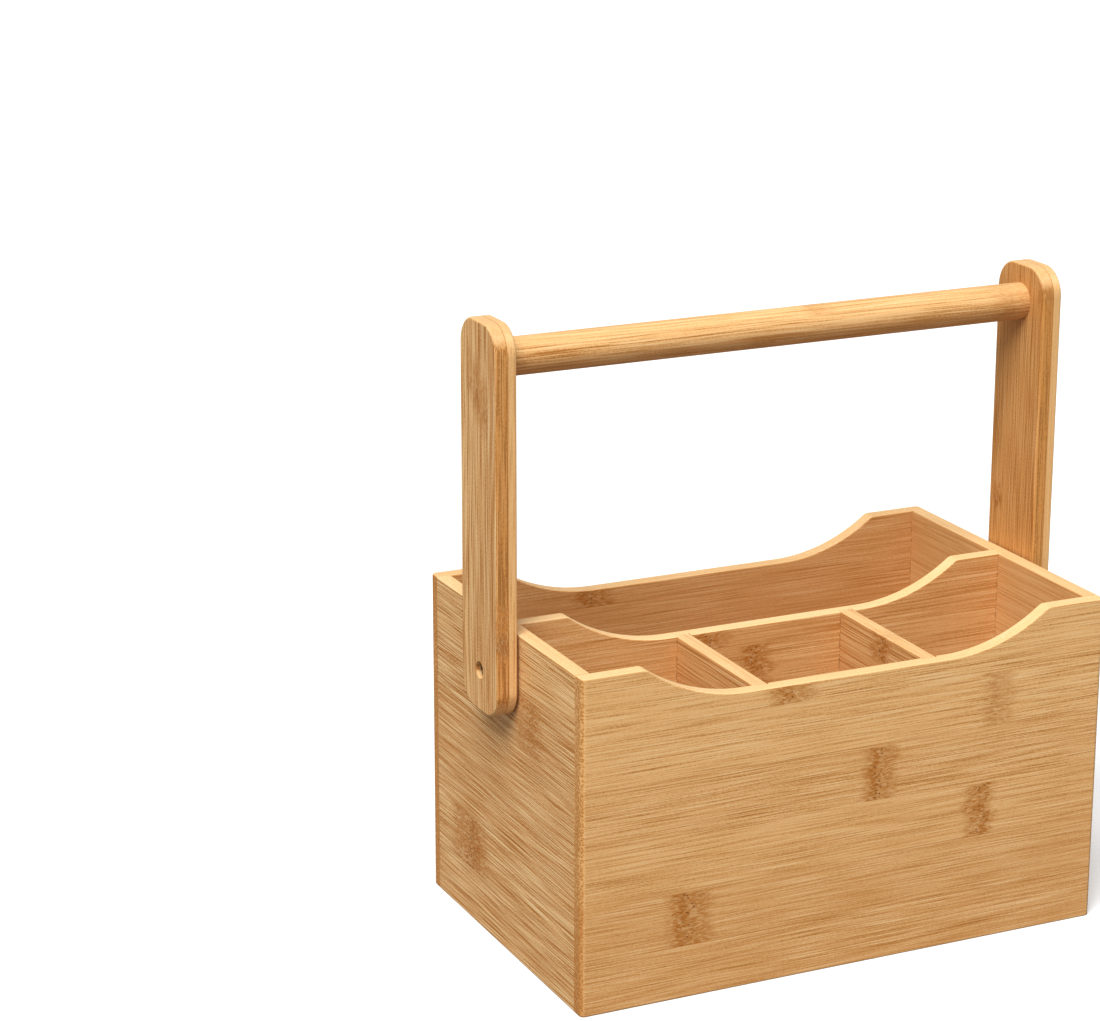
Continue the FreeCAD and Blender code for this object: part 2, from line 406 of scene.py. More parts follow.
PLY_SIDE = (0.35, 0.75)
PLY_FACE = (0.4, 0.8)
PLY_BLEND = 0.15
GLUE_FADE = (0.34, 0.1)
GLUE_FACING = (0.8, 0.4)


def build_ply_edges(name):
    """Two plies glued face to face, seen along the sawn edges: a dark one below, a pale one above."""
    wiring, given, result = start_group(
        name,
        {
            "Position": NO_VECTOR,
            "Normal": STRAIGHT_UP,
            "Glue Line": 0.0,
            "Face": 0.0,
        },
        {"Joint": "number", "Dark Ply": "number", "Pale Ply": "number"},
    )
    depth = wiring.separate(given["Position"])[2]
    sideways, outward = (abs(part) for part in wiring.separate(given["Normal"])[1:])
    side = sideways.fade(*PLY_SIDE)
    face = outward.fade(*PLY_FACE) * given["Face"]
    above = depth - given["Glue Line"]
    results = {
        "Joint": abs(above).fade(*GLUE_FADE) * outward.fade(*GLUE_FACING),
        "Dark Ply": above.fade(PLY_BLEND, -PLY_BLEND) * wiring.larger(side, face),
        "Pale Ply": above.fade(-PLY_BLEND, PLY_BLEND) * side,
    }
    wiring.fill(result, results)
    return wiring.tree


SWAY_LENGTH = 90.0
SWAY_WIDTH = 14.0
SWAY_REACH = 1.8
CURL_SCALE = (0.28, 0.55, 0.55)
CURL_REACH = 2.6


def bent_fibres(wiring, place, trail):
    """Place across the grain along fibres that sway a little, and curl where a node interrupts them."""
    along, across, _ = wiring.separate(place)
    sway = wiring.noise(wiring.combine(along / SWAY_LENGTH, across / SWAY_WIDTH, 0.0), detail=1.0)
    curl = wiring.noise(wiring.stretch(place, CURL_SCALE), detail=1.0)
    return across + ((sway - NOISE_MIDDLE) * SWAY_REACH + (curl - NOISE_MIDDLE) * trail * CURL_REACH)


# The grain's layers: how many times finer each is than the fibre spacing, where it shows and how much.
GRAIN_MIDDLE = 0.51
STREAK_WEIGHT = 1.1
WIDE_SCALE = (0.6, 0.45, 0.45)
WIDE_WEIGHT = 0.4
CONTOUR_SCALE = (0.6, 0.5, 0.5)
CONTOUR_LEVEL = 0.52
THIN_FADE = (0.055, 0.012)
THIN_GAPS = (0.36, 0.56, 0.1, 1.0)
THIN_WEIGHT = 0.7
FINE_SCALE = (2.2, 1.5, 1.5)
FINE_WEIGHT = 5.6
FLECK_SCALE = (1.2, 1.6, 1.6)
FLECK_WEIGHT = 1.3
DASH_SCALE = (4.2, 1.1, 1.1)
DASH_FADE = (0.32, 0.14)
DASH_ODDS = (0.58, 0.38)
DASH_ODDS_BLEND = 0.15
DASH_WEIGHT = 0.35


def layered_grain(wiring, given, lanes, streaks, fleck):
    """The grain as one signed value: above nought it darkens the wood, below nought it pales it."""
    wide = wiring.noise(wiring.stretch(lanes, WIDE_SCALE), detail=1.0)
    fine = wiring.noise(wiring.stretch(lanes, FINE_SCALE), detail=1.0)
    contour = abs(wiring.noise(wiring.stretch(lanes, CONTOUR_SCALE), detail=1.0) - CONTOUR_LEVEL)
    thin = contour.fade(*THIN_FADE) * fine.fade(*THIN_GAPS)
    gap, odds = wiring.cells(wiring.stretch(lanes, DASH_SCALE))
    wanted = given["Fibre"].between(*DASH_ODDS)
    dash = gap.fade(*DASH_FADE) * odds.fade(wanted, wanted + DASH_ODDS_BLEND)
    lines = (streaks - GRAIN_MIDDLE) * STREAK_WEIGHT + (wide - GRAIN_MIDDLE) * WIDE_WEIGHT
    lines = (lines + thin * THIN_WEIGHT) * given["Long Lines"]
    grain = lines + (fine - GRAIN_MIDDLE) * FINE_WEIGHT
    return grain + (fleck - NOISE_MIDDLE) * FLECK_WEIGHT + dash * DASH_WEIGHT


# The grain's strength in patches, by strip and by ply, and from plain wood to sawn tops and node marks.
PATCH_SIZE = (110.0, 15.0, 15.0)
PATCH_GRAIN = (0.34, 0.64, 0.8, 1.1)
STRIP_GRAIN = (0.92, 1.12)
DARK_PLY_GRAIN = 0.9
PALE_PLY_GRAIN = -0.6
TOP_GRAIN = (1.0, 0.35)
TRAIL_GRAIN = (1.0, 0.5)


def grain_strength(wiring, given, place, top, trail):
    """How strongly the grain shows: by patches, strips and plies, and less on sawn tops and node marks."""
    patches = wiring.noise(wiring.scaled(wiring.separate(place), PATCH_SIZE))
    strength = patches.fade(*PATCH_GRAIN) * given["Contrast"] * given["Fibre"].between(*STRIP_GRAIN)
    plies = given["Dark Ply"] * DARK_PLY_GRAIN + given["Pale Ply"] * PALE_PLY_GRAIN + 1.0
    return strength * plies * top.between(*TOP_GRAIN) * trail.between(*TRAIL_GRAIN)


BROAD_SIZE = (190.0, 5.5, 5.5)
BROAD_WEIGHT = 0.4
PLY_TINT = 0.85
PLY_SHADE = 0.4


def grained_wood(wiring, given, broad, dark, pale, shade):
    """The wood's colour on its faces: each strip's tone, the plies' tints and the grain."""
    warmth = wiring.math("ADD", given["Tone"], broad * BROAD_WEIGHT, clamp=True)
    colour = wiring.blend(warmth, given["Warm Colour"], given["Light Colour"])
    colour = wiring.blend(given["Dark Ply"] * PLY_TINT, colour, given["Ply Colour"])
    colour = wiring.blend(given["Pale Ply"] * PLY_TINT, colour, given["Light Colour"])
    colour = wiring.blend(pale, colour, given["Sawn Colour"])
    colour = wiring.blend(dark, colour, given["Fibre Colour"])
    return wiring.blend(dark * given["Dark Ply"] * PLY_SHADE, colour, shade)


MOTTLE_SCALE = (0.4, 1.0, 1.0)
MOTTLE_ROUGHNESS = 0.7
BAND_STAIN = (0.42, 0.58, 0.5, 0.95)
TRAIL_STAIN = (0.36, 0.62, 0.28, 0.62)
PLY_STAIN = 0.6
CURL_SIZE = (2.8, 0.62, 0.62)
DARK_CURLS = (0.5, 0.64, 0.0, 0.6)
PALE_CURLS = (0.46, 0.34, 0.0, 0.3)
PIT_SCALE = (0.4, 0.55, 0.0)
PIT_FADE = (0.28, 0.14)
PIT_ODDS = (0.3, 0.4)
PIT_TINT = 0.75


def marked_wood(wiring, given, place, side, masks, colour, shade):
    """Adds the node marks: a mottled stain, curled dashes and dark pits. Gives the colour and the pits."""
    band, pits, trail = masks
    along, _, depth = wiring.separate(place)
    mark = given["Mark Colour"]
    mottle = wiring.noise(wiring.stretch(place, MOTTLE_SCALE), detail=3.0, roughness=MOTTLE_ROUGHNESS)
    stain = band * mottle.fade(*BAND_STAIN)
    colour = wiring.blend(wiring.larger(stain, trail * mottle.fade(*TRAIL_STAIN)), colour, mark)
    colour = wiring.blend(stain * given["Dark Ply"] * PLY_STAIN, colour, shade)
    curls = wiring.noise(wiring.scaled((along, side, depth), CURL_SIZE), detail=1.0)
    colour = wiring.blend(curls.fade(*DARK_CURLS) * trail, colour, mark)
    colour = wiring.blend(curls.fade(*PALE_CURLS) * trail, colour, given["Sawn Colour"])
    gap, odds = wiring.cells(wiring.stretch(place, PIT_SCALE), "2D")
    pit = gap.fade(*PIT_FADE) * (pits * odds.fade(*PIT_ODDS))
    return wiring.blend(pit * PIT_TINT, colour, shade), pit


SAWN_GRAIN = 0.5
SAWN_FLECKS = (0.5, 0.75, 0.0, 0.5)
SAWN_STREAKS = (-0.12, 0.16, 0.0, 0.35)


def sawn_wood(wiring, given, dark, fleck, broad):
    """The sanded edges' colour, with a trace of the grain."""
    colour = wiring.blend(dark * SAWN_GRAIN, given["Sawn Colour"], given["Warm Colour"])
    colour = wiring.blend(fleck.fade(*SAWN_FLECKS), colour, given["Light Colour"])
    return wiring.blend(broad.fade(*SAWN_STREAKS), colour, given["Light Colour"])


DOTS_PER_MM = 0.9
DOT_FADE = (0.62, 0.25)
DOT_ODDS = (0.05, 0.6, 0.5, 1.0)
DOT_TINT = 0.8
LAYER_SCALE = (0.7, 0.03, 0.25)
LAYER_FADE = (0.3, 0.56)
DARK_STRIP_END = (0.15, 0.7, 0.4, 0.0)


def end_grain(wiring, given, place):
    """The cut ends: their colour, and the mask of the cut fibres' dots."""
    _, across, depth = wiring.separate(place)
    gap, odds = wiring.cells(wiring.combine(across * DOTS_PER_MM, depth * DOTS_PER_MM, 0.0), "2D")
    dot = gap.fade(*DOT_FADE) * odds.fade(*DOT_ODDS)
    layers = wiring.noise(wiring.stretch(place, LAYER_SCALE))
    colour = wiring.blend(layers.fade(*LAYER_FADE), given["Light Colour"], given["End Colour"])
    colour = wiring.blend(given["Tone"].fade(*DARK_STRIP_END), colour, given["Mark Colour"])
    return wiring.blend(dot * DOT_TINT, colour, given["Mark Colour"]), dot


DEEP_SHADE = (0.03, 0.01, 0.003, 1.0)
DEEP_SHADE_SHARE = 0.65
PALE_PLY_CLEAN = 0.8
GRAIN_DARKENS = 0.9
GRAIN_PALES = (-0.75, -0.12)

# Which way the surface looks, as the size of one part of its direction.
TOP_FACING = (0.15, 0.7)
TOP_SAWN = 0.8
EDGE_FACING = (0.4, 0.72)
END_FACING = (0.3, 0.75)
END_SIDEWAYS = (0.82, 0.6)
END_RAGGED = 0.2

JOINT_TINT = 0.6
CORNER_SHADE_TINT = 0.55
CLOUD_SCALE = (0.02, 0.06, 0.06)
LACQUER_ROUGHNESS = (0.3, 0.7, 0.4, 0.5)
GRAIN_ROUGHNESS = 0.16
SAWN_ROUGHNESS = 0.1
STREAK_RISE = 0.35
GRAIN_DEPTH = 0.5
JOINT_DEPTH = 0.5
PIT_DEPTH = 0.4
DOT_DEPTH = 0.5


def build_bamboo_surface(name):
    """Lacquered bamboo: fibres and dashes, node marks, pale sawn edges and stippled end grain."""
    wiring, given, result = start_group(
        name,
        {
            "Position": NO_VECTOR,
            "Normal": STRAIGHT_UP,
            "Tone": 0.5,
            "Fibre": 0.5,
            "Joint": 0.0,
            "Seam": 0.0,
            "Marks": NO_VECTOR,
            "Fibre Spacing": 0.8,
            "Fibre Length": 85.0,
            "Contrast": 1.0,
            "Long Lines": 1.0,
            "Pale Edge And Highlight": 1.0,
            "Bare Ends": 1.0,
            "Dark Ply": 0.0,
            "Pale Ply": 0.0,
            "Light Colour": (0.82, 0.48, 0.19, 1.0),
            "Warm Colour": (0.66, 0.33, 0.11, 1.0),
            "Fibre Colour": (0.43, 0.17, 0.03, 1.0),
            "Sawn Colour": (0.88, 0.61, 0.31, 1.0),
            "End Colour": (0.7, 0.38, 0.14, 1.0),
            "Mark Colour": (0.42, 0.14, 0.02, 1.0),
            "Ply Colour": (0.56, 0.2, 0.02, 1.0),
        },
        {"Colour": "colour", "Roughness": "number", "Height": "number"},
    )
    place = given["Position"]
    along, _, depth = wiring.separate(place)
    lengthwise, sideways = (abs(part) for part in wiring.separate(given["Normal"])[:2])
    top = lengthwise.fade(*TOP_FACING)
    clean = 1.0 - given["Pale Ply"] * PALE_PLY_CLEAN
    masks = tuple(mask * clean for mask in wiring.separate(given["Marks"]))
    trail = masks[2]
    shade = wiring.blend(DEEP_SHADE_SHARE, given["Mark Colour"], DEEP_SHADE)

    # The grain, and broad streaks a few millimetres high over each strip's own tone.
    side = bent_fibres(wiring, place, trail)
    spacing = given["Fibre Spacing"]
    lanes = wiring.scaled((along, side, depth), (given["Fibre Length"], spacing, spacing))
    streaks = wiring.noise(lanes, detail=1.0)
    fleck = wiring.noise(wiring.stretch(place, FLECK_SCALE), detail=0.0)
    grain = layered_grain(wiring, given, lanes, streaks, fleck)
    grain = grain * grain_strength(wiring, given, place, top, trail)
    dark = wiring.math("MULTIPLY", grain, GRAIN_DARKENS, clamp=True)
    pale = wiring.math("MULTIPLY", grain, given["Dark Ply"].between(*GRAIN_PALES), clamp=True)
    broad = wiring.noise(wiring.scaled((along, side, depth), BROAD_SIZE)) - NOISE_MIDDLE

    # The faces, then the sawn edges and the cut ends over them, then the strips' joints and the painted
    # corner shade.
    colour = grained_wood(wiring, given, broad, dark, pale, shade)
    colour, pit = marked_wood(wiring, given, place, side, masks, colour, shade)
    # Pale sawn edges; on the rod the same mask lays the sawn colour along its top and underside, a painted
    # highlight.
    edge = sideways.fade(*EDGE_FACING) * given["Pale Edge And Highlight"]
    sawn = sawn_wood(wiring, given, dark, fleck, broad)
    colour = wiring.blend(wiring.larger(edge, top * TOP_SAWN), colour, sawn)
    end = (lengthwise + fleck * END_RAGGED).fade(*END_FACING)
    end = end * given["Bare Ends"] * sideways.fade(*END_SIDEWAYS)
    cut, dot = end_grain(wiring, given, place)
    colour = wiring.blend(end, colour, cut)
    colour = wiring.blend(given["Joint"] * JOINT_TINT, colour, given["Mark Colour"])
    # Painted shade: darkens the inner corners where another board meets this face.
    colour = wiring.blend(given["Seam"] * CORNER_SHADE_TINT, colour, shade)

    cloud = wiring.noise(wiring.stretch(place, CLOUD_SCALE), detail=3.0)
    rough = cloud.fade(*LACQUER_ROUGHNESS) + dark * GRAIN_ROUGHNESS
    rough = rough + wiring.larger(end, edge) * SAWN_ROUGHNESS
    height = streaks * STREAK_RISE - dark * GRAIN_DEPTH - given["Joint"] * JOINT_DEPTH
    height = height - (pit + given["Seam"]) * PIT_DEPTH - dot * end * DOT_DEPTH
    wiring.fill(result, {"Colour": colour, "Roughness": rough, "Height": height})
    return wiring.tree


# ------------------------------------------------------------
# Materials
# ------------------------------------------------------------

COAT_ROUGHNESS = 0.35
WOOD_SPECULAR = 0.12
WAVER_SIZE = (3.6, 5.0)
WAVER_REACH = 13.0

STEEL_TURNING = (9.0, 1.2, 1.2)
STEEL_CLOUDS = (0.8, 0.8, 0.8)
STEEL_DULLS = 0.55
STEEL_DULL_FADE = (0.35, 0.65, 0.0, 0.7)
STEEL_ROUGHNESS = (0.35, 0.7, 0.28, 0.48)
STEEL_RELIEF = 0.25
NYLON_GRAIN = (4.0, 4.0, 4.0)
NYLON_WEAR = 1.8
NYLON_WEAR_FADE = (0.4, 0.7, 0.0, 0.6)
NYLON_ROUGHNESS = (0.3, 0.7, 0.5, 0.68)
NYLON_RELIEF = 0.3
SMALL_PART_RELIEF_DEPTH = 0.00005


def start_material(name):
    """A new empty material: the material and its wiring."""
    material = bpy.data.materials.new(name)
    material.use_nodes = True
    material.node_tree.nodes.clear()
    return material, Wiring(material.node_tree)


def finish_material(wiring, values):
    """Closes a material with one shader, whose sockets are fed by title."""
    shader = wiring.node("ShaderNodeBsdfPrincipled")
    wiring.fill(shader.inputs, values)
    output = wiring.node("ShaderNodeOutputMaterial")
    wiring.feed(output.inputs["Surface"], shader.outputs["BSDF"])


def surface_place(wiring):
    """The position on the surface in millimetres, and the surface's direction."""
    place = wiring.node("ShaderNodeTexCoord").outputs
    return wiring.stretch(place["Object"], (PER_METRE,) * 3), place["Normal"]


def board_directions(wiring, axes):
    """Position and surface direction, each along the grain, across it and through the board."""
    parts = (dict(zip("XYZ", wiring.separate(vector))) for vector in surface_place(wiring))
    return tuple(wiring.combine(*(part[axis] for axis in axes)) for part in parts)


class Board(NamedTuple):
    """How one board is cut from the bamboo, and what shows on it."""

    node: str
    axes: tuple
    seed: float
    contrast: float
    marks: tuple = ()
    # Lines of painted shade in the inner corners where other boards meet this one.
    corner_shades: tuple = ()
    tone: float = 0.5
    # Tone leaning across the board; on the front panel and the rod this is painted shade.
    lean: float = 0.0
    fineness: float = 1.0
    long_lines: float = 1.0
    pale_edge_and_highlight: float = 1.0
    bare_ends: float = 0.0
    strip_height: float = None
    first_joint: float = None
    glue_line: float = None
    ply_face: float = 0.0


def node_marks(wiring, board, position, strength):
    """The board's node marks, one over another."""
    _, across, depth = wiring.separate(position)
    width, thickness = WAVER_SIZE
    waver = wiring.noise(wiring.combine(across / width, depth / thickness, board.seed))
    waver = (waver - NOISE_MIDDLE) * WAVER_REACH
    marks = NO_VECTOR
    for centre_along, centre_across, length, height, share in board.marks:
        values = {
            "Position": position,
            "Waver": waver,
            "Centre Along": centre_along,
            "Centre Across": centre_across,
            "Length": length,
            "Height": height,
            "Strength": share * strength,
            "Marks": marks,
        }
        marks = wiring.group(shared_group("Node Mark", build_node_mark), values)["Marks"]
    return marks


def painted_corner_shade(wiring, board, position, normal):
    """The board's painted corner shade lines, one over another."""
    corner_shade = 0.0
    for place, facing in board.corner_shades:
        values = {"Position": position, "Normal": normal, "Place": place, "Facing": facing, "Seam": corner_shade}
        corner_shade = wiring.group(shared_group("Glue Seam", build_painted_corner_shade), values)["Seam"]
    return corner_shade


def board_plies(wiring, board, position, normal):
    """The joint and the two plies of a board that is glued up from two."""
    values = {
        "Position": position,
        "Normal": normal,
        "Glue Line": board.glue_line * PER_METRE,
        "Face": board.ply_face,
    }
    return wiring.group(shared_group("Ply Edges", build_ply_edges), values)


def board_tone(wiring, board, strips, position, spread):
    """Each strip's own tone, leaning from one edge of the board to the other. On the front panel and the rod
    the lean is painted shade: darker at the bottom, lighter at the top.
    """
    tone = strips["Tone"].between(board.tone - spread, board.tone + spread)
    if board.lean:
        low, high = (corner["XYZ".index(board.axes[1])] * PER_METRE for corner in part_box(board.node))
        tone = tone + wiring.separate(position)[1].fade(low, high, -board.lean, board.lean)
    return tone


def bamboo(board):
    """Makes a board's finish and puts it on the board."""
    colours = bpy.context.scene.caddy_colours
    grain = bpy.context.scene.caddy_grain
    strip_height = grain.strip_height if board.strip_height is None else board.strip_height
    first_joint = grain.first_joint if board.first_joint is None else board.first_joint
    material, wiring = start_material("Bamboo " + board.node.replace("_", " "))
    position, normal = board_directions(wiring, board.axes)
    layout = {
        "Position": position,
        "Strip Height": strip_height * PER_METRE,
        "First Joint": first_joint * PER_METRE,
        "Seed": board.seed,
    }
    strips = wiring.group(shared_group("Strip Layout", build_strip_layout), layout)
    plies = {"Joint": strips["Joint"], "Dark Ply": 0.0, "Pale Ply": 0.0}
    if board.glue_line is not None:
        plies = board_plies(wiring, board, position, normal)
    values = {
        "Position": strips["Position"],
        "Normal": normal,
        "Tone": board_tone(wiring, board, strips, position, grain.tone_spread),
        "Fibre": strips["Fibre"],
        "Seam": painted_corner_shade(wiring, board, position, normal),
        "Marks": node_marks(wiring, board, position, grain.mark_strength),
        "Fibre Spacing": grain.fibre_spacing * PER_METRE / board.fineness,
        "Fibre Length": grain.fibre_length * PER_METRE,
        "Contrast": board.contrast,
        "Long Lines": board.long_lines,
        "Pale Edge And Highlight": board.pale_edge_and_highlight,
        "Bare Ends": board.bare_ends,
        "Light Colour": opaque(colours.light),
        "Warm Colour": opaque(colours.warm),
        "Fibre Colour": opaque(colours.fibre),
        "Sawn Colour": opaque(colours.sawn),
        "End Colour": opaque(colours.end_grain),
        "Mark Colour": opaque(colours.mark),
        "Ply Colour": opaque(colours.ply),
        **plies,
    }
    surface = wiring.group(shared_group("Bamboo Surface", build_bamboo_surface), values)
    shader = {
        "Base Color": surface["Colour"],
        "Roughness": surface["Roughness"],
        "Normal": wiring.bump(surface["Height"], grain.relief, grain.relief_depth),
        "Coat Weight": grain.lacquer,
        "Coat Roughness": COAT_ROUGHNESS,
        "Specular IOR Level": WOOD_SPECULAR,
    }
    finish_material(wiring, shader)
    dress(board.node, material)


def plated_steel(name):
    """Dull zinc plate with turning marks and cloudy patches, its colour darkened as painted shade for the
    recess round the screw head.
    """
    bright = bpy.context.scene.caddy_colours.steel
    dull = tuple(channel * STEEL_DULLS for channel in bright)
    material, wiring = start_material(name)
    position, _ = surface_place(wiring)
    turned = wiring.noise(wiring.stretch(position, STEEL_TURNING))
    cloud = wiring.noise(wiring.stretch(position, STEEL_CLOUDS), detail=3.0)
    shader = {
        "Base Color": wiring.blend(cloud.fade(*STEEL_DULL_FADE), opaque(bright), opaque(dull)),
        "Metallic": 1.0,
        "Roughness": turned.fade(*STEEL_ROUGHNESS),
        "Normal": wiring.bump(turned, STEEL_RELIEF, SMALL_PART_RELIEF_DEPTH),
    }
    finish_material(wiring, shader)
    return material


def moulded_nylon(name):
    """Matt dark nylon with a faint moulded grain."""
    fresh = bpy.context.scene.caddy_colours.nylon
    worn = tuple(min(1.0, channel * NYLON_WEAR) for channel in fresh)
    material, wiring = start_material(name)
    position, _ = surface_place(wiring)
    grain = wiring.noise(wiring.stretch(position, NYLON_GRAIN), detail=3.0)
    shader = {
        "Base Color": wiring.blend(grain.fade(*NYLON_WEAR_FADE), opaque(fresh), opaque(worn)),
        "Roughness": grain.fade(*NYLON_ROUGHNESS),
        "Normal": wiring.bump(grain, NYLON_RELIEF, SMALL_PART_RELIEF_DEPTH),
    }
    finish_material(wiring, shader)
    return material


def dress(node, material):
    """Gives a CAD part its finish in every material slot."""
    for slot in NODES[node].material_slots:
        slot.material = material


# ------------------------------------------------------------
# Settings
# ------------------------------------------------------------


def colour_setting(name, description, default):
    return bpy.props.FloatVectorProperty(
        name=name, description=description, default=default, size=3, min=0.0, max=1.0, subtype="COLOR"
    )


def length_setting(name, description, default, precision=4):
    return bpy.props.FloatProperty(
        name=name,
        description=description,
        default=default,
        precision=precision,
        unit="LENGTH",
        subtype="DISTANCE",
    )


def angle_setting(name, description, degrees):
    return bpy.props.FloatProperty(
        name=name, description=description, default=math.radians(degrees), unit="ROTATION", subtype="ANGLE"
    )


def share_setting(name, description, default, top=1.0):
    return bpy.props.FloatProperty(
        name=name, description=description, default=default, min=0.0, max=top, subtype="FACTOR"
    )


class CaddyColours(bpy.types.PropertyGroup):
    """Colours of the bamboo and the pivot hardware."""

    light: colour_setting("Light Bamboo", "Face colour of the palest strips", (0.82, 0.475, 0.19))
    warm: colour_setting("Warm Bamboo", "Face colour of the brownest strips", (0.66, 0.325, 0.113))
    fibre: colour_setting("Fibre", "Colour of the long fibres and dashes", (0.43, 0.165, 0.032))
    sawn: colour_setting("Sawn Edge", "Colour of the sanded top edges", (0.88, 0.61, 0.31))
    end_grain: colour_setting("End Grain", "Colour of the cut ends between the dots", (0.70, 0.38, 0.14))
    mark: colour_setting("Node Mark", "Colour of the node marks and glue joints", (0.42, 0.14, 0.018))
    ply: colour_setting("Dark Ply", "Edge colour of the arms' darker ply", (0.56, 0.195, 0.015))
    # The screws' colour is darker than the zinc plate's own: painted shade for the recesses the screw heads
    # sit in.
    steel: colour_setting("Plated Steel", "Colour of the pivot screws", (0.26, 0.24, 0.21))
    nylon: colour_setting("Nylon", "Colour of the pivot washers", (0.05, 0.04, 0.032))


class CaddyGrain(bpy.types.PropertyGroup):
    """Sizes and strengths of the bamboo's grain."""

    strip_height: length_setting("Strip Height", "Width of the strips in the upright boards", 0.026)
    first_joint: length_setting("First Joint", "Height of the lowest joint between strips", -0.0014)
    cross_joint: length_setting("Cross Joint", "Height of the cross dividers' lowest joint", -0.006)
    arm_strip: length_setting("Arm Strip", "Width of the strips in the handle arms", 0.0063)
    rod_strip: length_setting("Rod Strip", "Width of the strips in the handle rod", 0.0066)
    floor_strip: length_setting("Floor Strip", "Width of the strips in the floor", 0.022)
    fibre_spacing: length_setting("Fibre Spacing", "Distance between fibres", 0.0008, precision=5)
    fibre_length: length_setting("Fibre Length", "Typical length of a visible fibre", 0.085)
    tone_spread: share_setting("Tone Spread", "How far the strips differ in tone", 0.22)
    side_contrast: share_setting("Side Contrast", "Strength of the long panels' grain", 0.6, top=2.0)
    end_contrast: share_setting("End Contrast", "Strength of the end panels' grain", 1.6, top=2.0)
    divider_contrast: share_setting("Divider Contrast", "Strength of the dividers' grain", 0.5, top=2.0)
    handle_contrast: share_setting("Handle Contrast", "Strength of the handle's grain", 0.75, top=2.0)
    mark_strength: share_setting("Node Marks", "Strength of the node marks", 1.0)
    ply_share: share_setting("Dark Ply", "Share of an arm's thickness taken by its darker ply", 0.56)
    relief: share_setting("Relief", "Strength of the grain's relief", 0.35)
    relief_depth: length_setting("Relief Depth", "Depth of the grain's relief", 0.00015, precision=5)
    lacquer: share_setting("Lacquer", "Weight of the clear lacquer", 0.03)


class CaddyStage(bpy.types.PropertyGroup):
    """Floor, light and camera."""

    floor_colour: colour_setting("Floor Colour", "Colour of the studio floor", (0.94, 0.94, 0.94))
    bounce_colour: colour_setting("Bounce Colour", "Colour that the floor throws back", (0.20, 0.193, 0.186))
    floor_radius: length_setting("Floor Radius", "Radius of the studio floor", 9.0, precision=1)
    sky_strength: share_setting("Room Light", "Strength of the even light from all around", 0.45, top=4.0)
    key_strength: share_setting("Key Light", "Strength of the soft light from above", 3.65, top=20.0)
    key_spread: angle_setting("Key Spread", "How wide the key light is, which softens its shadows", 36.0)
    key_azimuth: angle_setting("Key Azimuth", "Key light's direction round the caddy, from the front", -43.0)
    key_elevation: angle_setting("Key Elevation", "Key light's angle above the table", 54.0)
    lens: bpy.props.FloatProperty(
        name="Lens", description="Focal length of the camera", default=103.57, min=1.0, unit="CAMERA"
    )
    azimuth: angle_setting("Azimuth", "Camera's direction round the caddy, from the front", -24.824)
    elevation: angle_setting("Elevation", "Camera's angle above the table", 16.580)
    station: bpy.props.FloatVectorProperty(
        name="Camera Place",
        description="Where the camera stands",
        default=(-0.662758, -1.201145, 0.596942),
        size=3,
        subtype="TRANSLATION",
        unit="LENGTH",
    )


# ------------------------------------------------------------
# Operators
# ------------------------------------------------------------


class FinishOperator(bpy.types.Operator):
    """Base of the caddy's operators."""

    bl_options = {"REGISTER", "UNDO"}


class CADDY_OT_side_panels(FinishOperator):
    """Finishes the dished front and back panels"""

    bl_idname = "caddy.side_panels"
    bl_label = "Side Panels"

    def execute(self, context):
        contrast = context.scene.caddy_grain.side_contrast
        front = Board(
            node="front_panel",
            axes=ALONG_X,
            seed=3,
            contrast=contrast * 1.1,
            marks=FRONT_MARKS,
            tone=0.44,
            # Painted shade: the front panel darker towards the bottom and lighter towards the top.
            lean=0.22,
            fineness=1.2,
            long_lines=0.45,
            bare_ends=1.0,
        )
        back = Board(
            node="back_panel",
            axes=ALONG_X,
            seed=11,
            contrast=contrast * 0.7,
            marks=BACK_MARKS,
            corner_shades=BACK_CORNER_SHADE,
            tone=0.08,
            pale_edge_and_highlight=0.7,
            bare_ends=1.0,
        )
        bamboo(front)
        bamboo(back)
        return {"FINISHED"}


class CADDY_OT_end_panels(FinishOperator):
    """Finishes the straight panels at the two ends"""

    bl_idname = "caddy.end_panels"
    bl_label = "End Panels"

    def execute(self, context):
        contrast = context.scene.caddy_grain.end_contrast
        left = Board(
            node="left_end_panel",
            axes=ALONG_Y,
            seed=23,
            contrast=contrast,
            marks=LEFT_END_MARKS,
            fineness=1.55,
            long_lines=0.65,
        )
        right = Board(
            node="right_end_panel",
            axes=ALONG_Y,
            seed=29,
            contrast=contrast * 0.23,
            marks=RIGHT_END_MARKS,
            tone=0.45,
            pale_edge_and_highlight=0.7,
        )
        bamboo(left)
        bamboo(right)
        return {"FINISHED"}


class CADDY_OT_floor(FinishOperator):
    """Finishes the bottom board"""

    bl_idname = "caddy.floor"
    bl_label = "Floor"

    def execute(self, context):
        grain = context.scene.caddy_grain
        board = Board(
            node="bottom_board",
            axes=FLAT_ALONG_X,
            seed=31,
            contrast=grain.divider_contrast,
            marks=FLOOR_MARKS,
            strip_height=grain.floor_strip,
        )
        bamboo(board)
        return {"FINISHED"}


